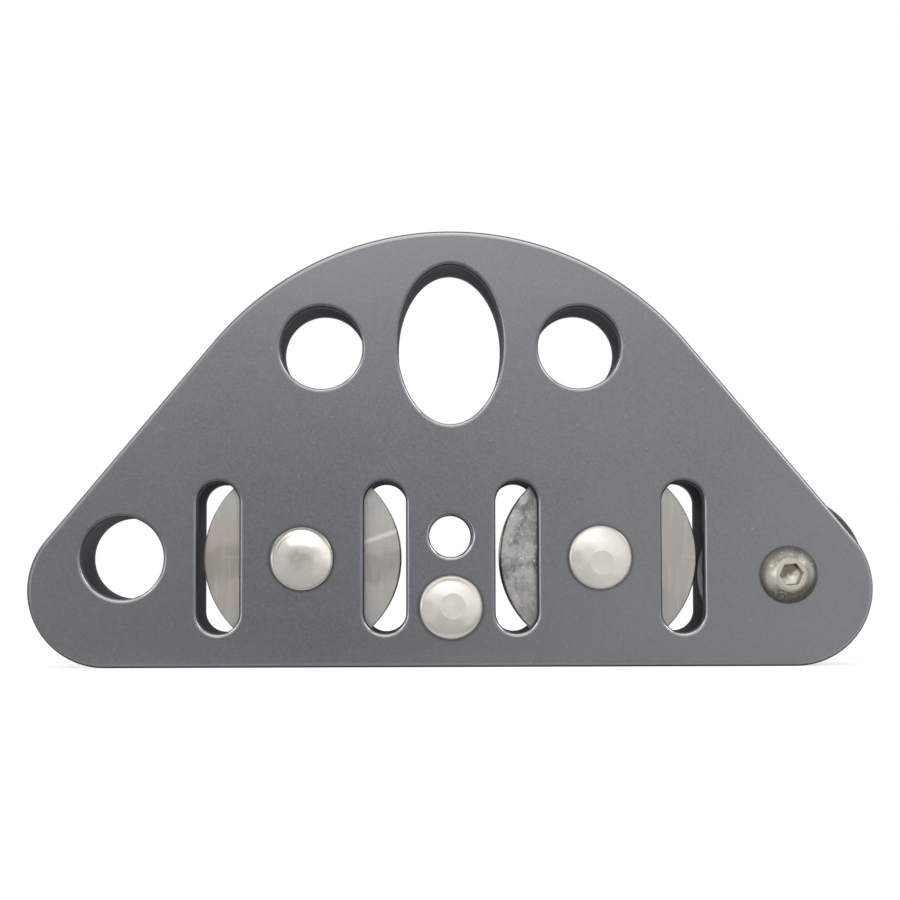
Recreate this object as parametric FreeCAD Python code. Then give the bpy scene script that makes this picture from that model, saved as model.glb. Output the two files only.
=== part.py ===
import FreeCAD, Part
import math
import os

# Tandem rope pulley: two flat side plates hold two grooved wheels and a guide roller between them.
# The rope lies in the open gap over the wheels, and karabiners go through the eyes above it.
# Frame: X along the pulley, Y from the front plate to the back plate, Z up.
# Origin: middle of the gap, on the plane of the plates' flat lower edges. Millimetres throughout.

# Side plates
plate_thickness = 5.0
corner_spacing = 209.0      # between the centres of the two lower corner arcs
corner_radius = 23.5
crown_radius = 93.7
plate_height = 132.6
edge_chamfer = 1.0

# Eyes and other openings in the plates
eye_diameter = 25.0
upper_eye_spacing = 78.5
upper_eye_web = 11.2        # metal between an upper eye and the crown
end_eye_x = -99.3
end_eye_height = 33.1
oval_width = 32.0
oval_height = 48.7
oval_web = 10.35            # metal between the oval and the crown
small_hole_diameter = 13.0
small_hole_height = 39.7
slot_width = 12.8
slot_height = 46.0
slot_from_axle = 25.2

# Wheels
axle_spacing = 90.3
axle_height = 33.1
wheel_diameter = 60.0
wheel_width = 17.0
rim_lip = 0.9               # flat width of the rim on each side of the groove
groove_depth = 8.2
groove_flank_angle = 15.0   # degrees, each flank from the wheel's own plane
rim_chamfer = 0.4

# Bushes, sleeves and thrust washers inside the wheels
sleeve_diameter = 18.0
bush_wall = 3.0
washer_thickness = 0.8
washer_diameter = 32.0

# Rivets
rivet_diameter = 12.0
rivet_head_diameter = 19.6
rivet_head_height = 2.4
rivet_head_edge = 0.5       # height of the upright edge round the head
rivet_head_shoulder = 0.9   # slope between that edge and the dome, across and up
rivet_set_diameter = 8.0    # flat left by the riveting tool on two of the rivets
middle_rivet_height = 18.1
middle_spacer_diameter = 18.0

# Guide roller and its screw
roller_x = 102.2
roller_height = 27.6
roller_diameter = 49.5
roller_chamfer = 1.0
roller_washer_thickness = 1.0
roller_washer_diameter = 24.0
screw_diameter = 10.0
screw_length = 20.0
screw_head_diameter = 17.5
screw_head_height = 5.5
screw_head_edge = 1.0       # height of the upright edge round the head
screw_head_flat = 8.9       # diameter of the flat round the socket
socket_across_flats = 6.0
socket_depth = 3.4
socket_turn = 6.4           # degrees, how far the tightened screw stands from square
nut_barrel_diameter = 14.0
nut_thread_runout = 2.0     # bored past the screw's end

# Clearances
seat_clearance = 0.03       # radial, between pieces that don't turn on each other
running_clearance = 0.06    # radial, between pieces that turn on each other
side_clearance = 0.2        # along Y, between a thrust washer and what turns beside it

# Values that follow from the ones above
plate_gap = wheel_width + 2 * (washer_thickness + side_clearance)
roller_width = plate_gap - 2 * (roller_washer_thickness + side_clearance)
inner_face = plate_gap / 2
outer_face = inner_face + plate_thickness
crown_centre_height = plate_height - crown_radius
eye_from_crown_centre = crown_radius - upper_eye_web - eye_diameter / 2
upper_eye_height = crown_centre_height + math.sqrt(eye_from_crown_centre ** 2 - (upper_eye_spacing / 2) ** 2)
oval_centre_height = plate_height - oval_web - oval_height / 2
axle_places = {"left": -axle_spacing / 2, "right": axle_spacing / 2}
set_diameters = {"left": 0, "middle": rivet_set_diameter, "right": rivet_set_diameter}
eye_places = [(end_eye_x, end_eye_height), (-upper_eye_spacing / 2, upper_eye_height),
              (upper_eye_spacing / 2, upper_eye_height)]
bore_of_bush = sleeve_diameter + 2 * running_clearance
bush_diameter = bore_of_bush + 2 * bush_wall
rivet_hole_diameter = rivet_diameter + 2 * seat_clearance
Y_AXIS = FreeCAD.Vector(0, 1, 0)


def point(x, y, z):
    return FreeCAD.Vector(x, y, z)


def line(start, end):
    return Part.LineSegment(start, end).toShape()


def arc(start, middle, end):
    return Part.Arc(start, middle, end).toShape()


def turned(profile, x, z):
    """Solid of revolution about an axle along Y. The profile is a closed loop of (radius, y) points;
    an arc is a pair of points: the one that it passes through and its end."""
    corners = [step if isinstance(step[0], tuple) else (None, step) for step in profile]
    edges = []
    for (_, start), (through, end) in zip(corners[-1:] + corners[:-1], corners):
        a = point(start[0], start[1], 0)
        b = point(end[0], end[1], 0)
        if through is None:
            edges.append(line(a, b))
        else:
            edges.append(arc(a, point(through[0], through[1], 0), b))
    solid = Part.Face(Part.Wire(edges)).revolve(point(0, 0, 0), Y_AXIS, 360)
    solid.translate(point(x, 0, z))
    return solid


def ring(outer_diameter, inner_diameter, y_low, y_high, x, z):
    """Plain tube, sleeve or washer along Y."""
    outer = outer_diameter / 2
    inner = inner_diameter / 2
    return turned([(inner, y_low), (outer, y_low), (outer, y_high), (inner, y_high)], x, z)


def cylinder_along_y(diameter, x, z, y_low, y_high):
    return Part.makeCylinder(diameter / 2, y_high - y_low, point(x, y_low, z), Y_AXIS)


def dome_middle(rim_radius, rim_y, top_radius, top_y):
    """Point on a dome between its rim and its top, for a sphere whose centre is on the axle."""
    rise = abs(top_y - rim_y)
    centre_depth = (rim_radius ** 2 - top_radius ** 2 - rise ** 2) / (2 * rise)
    sphere_radius = math.hypot(rim_radius, centre_depth)
    middle_radius = (rim_radius + top_radius) / 2
    height = math.sqrt(sphere_radius ** 2 - middle_radius ** 2) - centre_depth
    return middle_radius, rim_y + math.copysign(height, top_y - rim_y)


def plate_outline(y):
    """The plate's edge: a crown arc, two lower corner arcs and the straight lines that touch them."""
    corner_x = corner_spacing / 2
    drop = crown_centre_height - corner_radius
    # direction of the flank's outward normal, from the X axis
    between = math.hypot(corner_x, drop)
    normal = math.acos((crown_radius - corner_radius) / between) - math.atan2(drop, corner_x)
    half_way = (normal - math.pi / 2) / 2

    def on_arc(centre_x, centre_z, radius, angle):
        return point(centre_x + radius * math.cos(angle), y, centre_z + radius * math.sin(angle))

    def mirrored(p):
        return point(-p.x, p.y, p.z)

    crown_touch = on_arc(0, crown_centre_height, crown_radius, normal)
    corner_touch = on_arc(corner_x, corner_radius, corner_radius, normal)
    corner_middle = on_arc(corner_x, corner_radius, corner_radius, half_way)
    foot = point(corner_x, y, 0)
    edges = [
        arc(mirrored(crown_touch), point(0, y, plate_height), crown_touch),
        line(crown_touch, corner_touch),
        arc(corner_touch, corner_middle, foot),
        line(foot, mirrored(foot)),
        arc(mirrored(foot), mirrored(corner_middle), mirrored(corner_touch)),
        line(mirrored(corner_touch), mirrored(crown_touch)),
    ]
    return Part.Face(Part.Wire(edges))


def slot_tool(x, y_low, y_high):
    """Upright slot with round ends."""
    straight = slot_height - slot_width
    z_low = axle_height - straight / 2
    middle = Part.makeBox(slot_width, y_high - y_low, straight, point(x - slot_width / 2, y_low, z_low))
    ends = [cylinder_along_y(slot_width, x, z, y_low, y_high) for z in (z_low, z_low + straight)]
    return middle.fuse(ends).removeSplitter()


def oval_tool(y_low, y_high):
    centre = point(0, y_low, oval_centre_height)
    top = centre + point(0, 0, oval_height / 2)
    side = centre + point(oval_width / 2, 0, 0)
    face = Part.Face(Part.Wire(Part.Ellipse(top, side, centre).toShape()))
    return face.extrude(point(0, y_high - y_low, 0))


def side_plate(side):
    """One plate. side is -1 for the front plate and 1 for the back one."""
    y_low, y_high = sorted((side * inner_face, side * outer_face))

    def hole(diameter, x, z):
        return cylinder_along_y(diameter, x, z, y_low, y_high)

    openings = [hole(eye_diameter, x, z) for x, z in eye_places]
    openings.append(oval_tool(y_low, y_high))
    openings.append(hole(small_hole_diameter, 0, small_hole_height))
    for axle_x in axle_places.values():
        openings.append(slot_tool(axle_x - slot_from_axle, y_low, y_high))
        openings.append(slot_tool(axle_x + slot_from_axle, y_low, y_high))
    plate = plate_outline(y_low).extrude(point(0, y_high - y_low, 0)).cut(openings)
    # the outer face has its edge broken all round, and so has each opening there
    outer_edges = [edge for edge in plate.Edges
                   if abs(edge.BoundBox.YMin - side * outer_face) < 1e-6
                   and abs(edge.BoundBox.YMax - side * outer_face) < 1e-6]
    plate = plate.makeChamfer(edge_chamfer, outer_edges)
    # the holes under the heads stay sharp
    screw_hole_diameter = (screw_diameter if side < 0 else nut_barrel_diameter) + 2 * seat_clearance
    fastener_holes = [hole(rivet_hole_diameter, x, axle_height) for x in axle_places.values()]
    fastener_holes.append(hole(rivet_hole_diameter, 0, middle_rivet_height))
    fastener_holes.append(hole(screw_hole_diameter, roller_x, roller_height))
    return plate.cut(fastener_holes)


def wheel(x):
    """Grooved wheel: a round-bottomed groove whose flanks open towards the rim, and a bore for the bush."""
    half_width = wheel_width / 2
    rim = wheel_diameter / 2
    lip_y = half_width - rim_lip
    flank = math.radians(groove_flank_angle)
    slope = math.tan(flank)
    # radius of the round bottom that meets both flanks smoothly at this depth and this width
    bottom_radius = (lip_y - groove_depth * slope) / (math.cos(flank) - slope * (1 - math.sin(flank)))
    turn_y = bottom_radius * math.cos(flank)
    turn_radius = rim - groove_depth + bottom_radius * (1 - math.sin(flank))
    bore = bush_diameter / 2 + seat_clearance
    profile = [
        (bore, -half_width), (rim - rim_chamfer, -half_width), (rim, -half_width + rim_chamfer),
        (rim, -lip_y), (turn_radius, -turn_y), ((rim - groove_depth, 0), (turn_radius, turn_y)),
        (rim, lip_y), (rim, half_width - rim_chamfer), (rim - rim_chamfer, half_width), (bore, half_width),
    ]
    return turned(profile, x, axle_height)


def rivet(x, z, set_diameter):
    """Rivet through both plates, with a low domed head on each. The tool may leave the dome's top flat."""
    shank = rivet_diameter / 2
    head = rivet_head_diameter / 2
    set_radius = set_diameter / 2
    rim_y = outer_face + rivet_head_edge
    top_y = outer_face + rivet_head_height
    shoulder = head - rivet_head_shoulder
    shoulder_y = rim_y + rivet_head_shoulder
    dome = (dome_middle(shoulder, shoulder_y, set_radius, top_y), (set_radius, top_y))
    flat = [(0, top_y)] if set_radius > 0 else []
    profile = [(0, 0), (shank, 0), (shank, outer_face), (head, outer_face), (head, rim_y),
               (shoulder, shoulder_y), dome] + flat
    half = turned(profile, x, z)
    return half.fuse(half.mirror(point(0, 0, 0), Y_AXIS)).removeSplitter()


def roller():
    """Solid plastic roller with chamfered rims."""
    half_width = roller_width / 2
    rim = roller_diameter / 2
    bore = nut_barrel_diameter / 2 + running_clearance
    profile = [
        (bore, -half_width), (rim - roller_chamfer, -half_width), (rim, -half_width + roller_chamfer),
        (rim, half_width - roller_chamfer), (rim - roller_chamfer, half_width), (bore, half_width),
    ]
    return turned(profile, roller_x, roller_height)


def hexagon_socket(side):
    """Tool for the socket in a button head on the given side."""
    reach = socket_across_flats / 2 / math.cos(math.pi / 6)
    top_y = side * (outer_face + screw_head_height)
    turns = [math.radians(socket_turn + 60 * i) for i in range(7)]
    corners = [point(roller_x + reach * math.cos(turn), top_y, roller_height + reach * math.sin(turn))
               for turn in turns]
    face = Part.Face(Part.makePolygon(corners))
    return face.extrude(point(0, -side * socket_depth, 0))


def button_head_profile(side):
    """Half section of a button head, from the flat at its top to its seat on the plate."""
    head = screw_head_diameter / 2
    flat = screw_head_flat / 2
    rim_y = outer_face + screw_head_edge
    top_y = outer_face + screw_head_height
    dome = dome_middle(head, rim_y, flat, top_y)
    return [(0, side * top_y), (flat, side * top_y), ((dome[0], side * dome[1]), (head, side * rim_y)),
            (head, side * outer_face)]


def roller_screw():
    """Button-head screw from the front, which ends inside the sleeve nut."""
    shank = screw_diameter / 2
    end_y = screw_length - outer_face
    profile = button_head_profile(-1) + [(shank, -outer_face), (shank, end_y), (0, end_y)]
    return turned(profile, roller_x, roller_height).cut(hexagon_socket(-1))


def roller_sleeve_nut():
    """Nut from the back: its barrel fills the gap, carries the roller and takes the screw."""
    barrel = nut_barrel_diameter / 2
    bore = screw_diameter / 2 + seat_clearance
    bore_end = screw_length - outer_face + nut_thread_runout
    profile = button_head_profile(1) + [(barrel, outer_face), (barrel, -inner_face), (bore, -inner_face),
                                        (bore, bore_end), (0, bore_end)]
    return turned(profile, roller_x, roller_height).cut(hexagon_socket(1))


def clamped_tube(diameter, x, z):
    """Tube on a rivet, held between the plates, which keeps them apart."""
    return ring(diameter, rivet_hole_diameter, -inner_face, inner_face, x, z)


def washer_pair(thickness, outer_diameter, shaft_diameter, x, z):
    """Two thrust washers, each against its plate."""
    hole = shaft_diameter + 2 * seat_clearance
    front = ring(outer_diameter, hole, -inner_face, -inner_face + thickness, x, z)
    back = ring(outer_diameter, hole, inner_face - thickness, inner_face, x, z)
    return front, back


parts = {
    "side_plate_front": side_plate(-1),
    "side_plate_back": side_plate(1),
    "middle_rivet": rivet(0, middle_rivet_height, set_diameters["middle"]),
    "middle_spacer": clamped_tube(middle_spacer_diameter, 0, middle_rivet_height),
    "guide_roller": roller(),
    "roller_screw": roller_screw(),
    "roller_sleeve_nut": roller_sleeve_nut(),
}
half_wheel = wheel_width / 2
for place, axle_x in axle_places.items():
    parts[place + "_wheel"] = wheel(axle_x)
    parts[place + "_bush"] = ring(bush_diameter, bore_of_bush, -half_wheel, half_wheel, axle_x, axle_height)
    parts[place + "_axle_sleeve"] = clamped_tube(sleeve_diameter, axle_x, axle_height)
    parts[place + "_axle_rivet"] = rivet(axle_x, axle_height, set_diameters[place])
    washers = washer_pair(washer_thickness, washer_diameter, sleeve_diameter, axle_x, axle_height)
    parts[place + "_washer_front"], parts[place + "_washer_back"] = washers
washers = washer_pair(roller_washer_thickness, roller_washer_diameter, nut_barrel_diameter, roller_x,
                      roller_height)
parts["roller_washer_front"], parts["roller_washer_back"] = washers

os.makedirs("parts", exist_ok=True)
for node, shape in parts.items():
    shape.exportStep("parts/" + node + ".step")
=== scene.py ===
import math

import bmesh
import bpy
from bpy.props import FloatProperty, FloatVectorProperty, PointerProperty
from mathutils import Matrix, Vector, geometry, noise


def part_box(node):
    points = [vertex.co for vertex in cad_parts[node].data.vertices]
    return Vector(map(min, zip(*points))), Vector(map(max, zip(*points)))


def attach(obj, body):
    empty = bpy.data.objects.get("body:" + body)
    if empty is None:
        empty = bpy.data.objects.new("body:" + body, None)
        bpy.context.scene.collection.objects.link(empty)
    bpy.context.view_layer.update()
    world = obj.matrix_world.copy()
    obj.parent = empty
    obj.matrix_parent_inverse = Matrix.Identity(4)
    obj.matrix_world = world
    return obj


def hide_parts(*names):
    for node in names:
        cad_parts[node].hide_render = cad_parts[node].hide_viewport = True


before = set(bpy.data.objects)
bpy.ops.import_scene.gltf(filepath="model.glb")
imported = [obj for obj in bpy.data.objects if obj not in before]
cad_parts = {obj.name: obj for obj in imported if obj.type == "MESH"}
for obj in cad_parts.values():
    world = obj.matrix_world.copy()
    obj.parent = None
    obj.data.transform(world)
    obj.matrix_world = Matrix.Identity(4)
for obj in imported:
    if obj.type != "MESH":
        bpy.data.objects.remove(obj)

bl_info = {
    "name": "Tandem rope pulley",
    "version": (1, 0, 0),
    "blender": (4, 5, 0),
    "location": "View3D > Sidebar > Pulley",
    "description": "Dresses the solids of a tandem rope pulley and sets it in a small studio",
    "category": "Add Mesh",
}

MM = 0.001
FRONT, BACK = -1, 1
PLATES = {FRONT: "side_plate_front", BACK: "side_plate_back"}
HANDS = ("left", "right")
NO_RADIUS = 1e-7                    # a ring smaller than this is one point
SHARP_ANGLE = math.radians(35.0)    # an edge that turns further stays sharp
BORE_EDGE = 0.3 * MM                # rounding or bevel at the ends of bores and of the nut's barrel
RIVETS = ("left_axle_rivet", "right_axle_rivet", "middle_rivet")


def length(name, description, default):
    """A size that shows in Blender's own unit of length."""
    return FloatProperty(name=name, description=description, default=default, min=0.0, precision=5,
                         subtype="DISTANCE", unit="LENGTH")


def place(name, description, default):
    """A distance that may be negative."""
    return FloatProperty(name=name, description=description, default=default, precision=5,
                         subtype="DISTANCE", unit="LENGTH")


def angle(name, description, default):
    """An angle, with its default in degrees."""
    return FloatProperty(name=name, description=description, default=math.radians(default), precision=4,
                         subtype="ANGLE", unit="ROTATION")


def amount(name, description, default):
    return FloatProperty(name=name, description=description, default=default, min=0.0)


def colour(name, description, default):
    return FloatVectorProperty(name=name, description=description, default=default, min=0.0, max=1.0, size=3,
                               subtype="COLOR")


class PulleyPlateSizes(bpy.types.PropertyGroup):
    """Outline of the two side plates and their openings, the same as in the solids."""
    corner_spacing: length("Corner spacing", "Between the centres of the two lower corner arcs", 209.0 * MM)
    corner_radius: length("Corner radius", "Radius of the lower corners", 23.5 * MM)
    crown_radius: length("Crown radius", "Radius of the arc along the top", 93.7 * MM)
    plate_height: length("Plate height", "From the flat lower edge to the top", 132.6 * MM)
    edge_rounding: length("Edge rounding", "Radius of the outline's outer edge", 1.5 * MM)
    opening_rounding: length("Opening rounding", "Radius of the openings' outer edges", 1.2 * MM)
    inner_edge: length("Inner edge", "Small bevel on the edges that face the gap", 0.15 * MM)
    eye_diameter: length("Eye diameter", "Diameter of the three round eyes", 25.0 * MM)
    upper_eye_spacing: length("Upper eye spacing", "Between the two upper eyes", 78.5 * MM)
    upper_eye_web: length("Upper eye web", "Metal between an upper eye and the crown", 11.2 * MM)
    end_eye_x: place("End eye place", "Place of the end eye along the pulley", -99.3 * MM)
    end_eye_height: length("End eye height", "Height of the end eye", 33.1 * MM)
    oval_width: length("Oval width", "Width of the oval eye", 32.0 * MM)
    oval_height: length("Oval height", "Height of the oval eye", 48.7 * MM)
    oval_web: length("Oval web", "Metal between the oval eye and the crown", 10.35 * MM)
    small_hole_diameter: length("Small hole diameter", "Diameter of the hole between the wheels", 13.0 * MM)
    small_hole_height: length("Small hole height", "Height of that hole", 39.7 * MM)
    small_hole_rounding: length("Small hole rounding", "Radius of its outer edge", 1.1 * MM)
    slot_width: length("Slot width", "Width of the four slots", 12.8 * MM)
    slot_height: length("Slot height", "Height of the four slots", 46.0 * MM)
    slot_from_axle: length("Slot from axle", "From an axle to the slots on either side of it", 25.2 * MM)
    seat_clearance: length("Seat clearance", "Between a hole and the shank in it", 0.03 * MM)


class PulleyWheelSizes(bpy.types.PropertyGroup):
    """The two grooved wheels."""
    rim_lip: length("Rim lip", "Flat width of the rim beside the groove", 0.9 * MM)
    rim_rounding: length("Rim rounding", "Rounding of the rim's outer edges", 0.4 * MM)
    lip_rounding: length("Lip rounding", "Rounding where the lip meets the groove", 0.2 * MM)
    groove_depth: length("Groove depth", "From the rim to the bottom of the groove", 8.2 * MM)
    groove_flank: angle("Groove flank", "Each flank from the wheel's own plane", 15.0)
    bore_clearance: length("Bore clearance", "Between the bush and the wheel's bore", 0.03 * MM)


class PulleyRivetSizes(bpy.types.PropertyGroup):
    """The three rivets."""
    shank_diameter: length("Shank diameter", "Diameter between the heads", 12.0 * MM)
    head_edge: length("Head edge", "Height of the upright edge round a head", 0.35 * MM)
    head_rounding: length("Head rounding", "Rounding between that edge and the dome", 1.3 * MM)
    mark_depth: length("Mark depth", "How deep the riveting tool dished the dome", 0.16 * MM)
    mark_burr: length("Mark burr", "Height of the fine ridge round the tool's mark", 0.008 * MM)
    hammer_depth: length("Hammer depth", "Unevenness that the riveting left on a dome", 0.03 * MM)
    die_ring_radius: length("Die ring radius", "Radius of the die's ring on the polished head", 7.6 * MM)


class PulleyScrewSizes(bpy.types.PropertyGroup):
    """The roller's screw and its sleeve nut."""
    head_edge: length("Head edge", "Height of the upright edge round a head", 1.0 * MM)
    head_flat: length("Head flat", "Diameter of the flat round the socket", 8.9 * MM)
    socket_across_flats: length("Socket width", "Across the flats of the hexagon socket", 6.0 * MM)
    socket_depth: length("Socket depth", "Depth of the hexagon socket", 3.4 * MM)
    socket_turn: angle("Socket turn", "How far the tightened screw stands from square", 6.4)
    shank_diameter: length("Screw diameter", "Diameter of the screw's shank", 10.0 * MM)
    barrel_diameter: length("Barrel diameter", "Diameter of the nut's barrel", 14.0 * MM)
    thread_runout: length("Thread run-out", "Bored past the screw's end", 2.0 * MM)


class PulleyRollerSizes(bpy.types.PropertyGroup):
    """The guide roller."""
    rim_rounding: length("Rim rounding", "Rounding of the roller's rims", 1.0 * MM)
    bore_clearance: length("Bore clearance", "Between the barrel and the roller's bore", 0.06 * MM)


class PulleyColours(bpy.types.PropertyGroup):
    """Base colours of the finishes."""
    plate: colour("Plate", "Grey anodised aluminium", (0.106, 0.108, 0.114))
    wheel: colour("Wheel", "Turned metal of the wheels", (0.331, 0.329, 0.312))
    rivet: colour("Rivet", "Bright steel of the rivets", (0.52, 0.497, 0.46))
    screw: colour("Screw", "Stainless steel of the roller's screw", (0.31, 0.293, 0.262))
    roller: colour("Roller", "Black plastic of the guide roller", (0.018, 0.018, 0.02))
    bush: colour("Bush", "Sintered bronze", (0.50, 0.33, 0.17))
    sleeve: colour("Sleeve", "Ground steel of the sleeves and the spacer", (0.50, 0.50, 0.50))
    washer: colour("Washer", "Natural plastic of the thrust washers", (0.72, 0.70, 0.64))


class PulleyStudio(bpy.types.PropertyGroup):
    """Camera and lamps."""
    camera_side: place("Camera side", "Place of the camera along the pulley", -7.0 * MM)
    camera_distance: length("Camera distance", "From the camera to the middle of the gap", 626.5 * MM)
    camera_height: length("Camera height", "Height of the camera above the floor", 30.2 * MM)
    camera_tilt: angle("Camera tilt", "How far the camera looks up", 3.309)
    camera_turn: angle("Camera turn", "How far the camera looks to the right", 0.631)
    camera_roll: angle("Camera roll", "How far the camera leans to the right", 0.165)
    lens: FloatProperty(name="Lens", description="Focal length", default=80.89, unit="CAMERA")
    front_level: amount("Front lamp", "Brightness of the lamp above the camera", 2.6)
    high_level: amount("High lamp", "Brightness of the wide lamp above that one", 0.35)
    wide_level: amount("Wide lamp", "Brightness of the tall wide lamp behind both", 0.38)
    top_level: amount("Top lamp", "Brightness of the lamp overhead", 1.3)
    left_wing_level: amount("Left wing", "Brightness of the lamp high on the left", 2.6)
    right_wing_level: amount("Right wing", "Brightness of the lamp high on the right", 3.6)
    left_level: amount("Left lamp", "Brightness of the lamp in front on the left", 2.9)
    right_level: amount("Right lamp", "Brightness of the lamp in front on the right", 0.8)
    side_level: amount("Side lamp", "Brightness of the lamp at the right end", 1.5)


def middle(node):
    low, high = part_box(node)
    return (low + high) / 2


def span(node):
    low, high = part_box(node)
    return high - low


def clamped(value):
    return max(0.0, min(1.0, value))


# Mesh tools

def arc(centre, radius, start, end, count):
    """Points on an arc and their directions from its centre. Angles in radians."""
    points = []
    for i in range(count + 1):
        turn = start + (end - start) * i / count
        direction = Vector((math.cos(turn), math.sin(turn)))
        points.append((Vector(centre) + radius * direction, direction))
    return points


def softened(corners):
    """Points of an open section through corners of (radius, y, rounding), with each rounding as an arc."""
    finest_step = math.radians(9)
    nearly_straight = math.radians(89.5)
    places = [Vector(corner[:2]) for corner in corners]
    points = [places[0]]
    for before, here, after, corner in zip(places, places[1:], places[2:], corners[1:]):
        rounding = corner[2]
        a = (before - here).normalized()
        b = (after - here).normalized()
        half = a.angle(b) / 2
        if rounding <= 0 or half > nearly_straight:
            points.append(here)
            continue
        centre = here + (a + b).normalized() * (rounding / math.sin(half))
        start = here + a * (rounding / math.tan(half)) - centre
        end = here + b * (rounding / math.tan(half)) - centre
        sweep = start.angle_signed(end)
        count = max(2, math.ceil(abs(sweep) / finest_step))
        for i in range(count + 1):
            turn = -sweep * i / count
            points.append(centre + Vector((start.x * math.cos(turn) - start.y * math.sin(turn),
                                           start.x * math.sin(turn) + start.y * math.cos(turn))))
    return points + [places[-1]]


def ring_of(radius, y, count):
    """Ring of points about the Y axis, or one point where there is no radius. The radius may be a function of
    the angle."""
    if not callable(radius) and radius <= NO_RADIUS:
        return [Vector((0, y, 0))]
    turns = [math.tau * i / count for i in range(count)]
    radii = [radius(turn) if callable(radius) else radius for turn in turns]
    return [Vector((r * math.cos(turn), y, r * math.sin(turn))) for r, turn in zip(radii, turns)]


def make_piece(name, mesh_maker, origin, finish, body, nodes, turn=0.0):
    """Makes the piece's mesh, sets it in place, smooths it, ties it to its body and hides its nodes."""
    bm = bmesh.new()
    mesh_maker(bm)
    bmesh.ops.recalc_face_normals(bm, faces=bm.faces)
    mesh = bpy.data.meshes.new(name)
    bm.to_mesh(mesh)
    bm.free()
    for polygon in mesh.polygons:
        polygon.use_smooth = True
    mesh.set_sharp_from_angle(angle=SHARP_ANGLE)
    mesh.materials.append(finish)
    piece = bpy.data.objects.new(name, mesh)
    bpy.context.scene.collection.objects.link(piece)
    piece.location = origin
    piece.rotation_euler.y = -turn
    normals = piece.modifiers.new("Even faces", "WEIGHTED_NORMAL")
    normals.keep_sharp = True
    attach(piece, body)
    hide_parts(*nodes)


def skin(bm, rings, closed=False):
    """Faces between rings of points. A ring of one point is a pole, and a closed skin also joins its last
    ring to its first."""
    made = [[bm.verts.new(point) for point in ring] for ring in rings]
    pairs = list(zip(made, made[1:])) + ([(made[-1], made[0])] if closed else [])
    for a, b in pairs:
        count = max(len(a), len(b))
        for i in range(count):
            j = (i + 1) % count
            corners = [a[i % len(a)], a[j % len(a)], b[j % len(b)], b[i % len(b)]]
            bm.faces.new(list(dict.fromkeys(corners)))


def turned(section, count):
    """Mesh maker for a closed section of (radius, y) points turned about the Y axis."""
    def build(bm):
        skin(bm, [ring_of(r, y, count) for r, y in section], closed=True)
    return build


# Finishes

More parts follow.
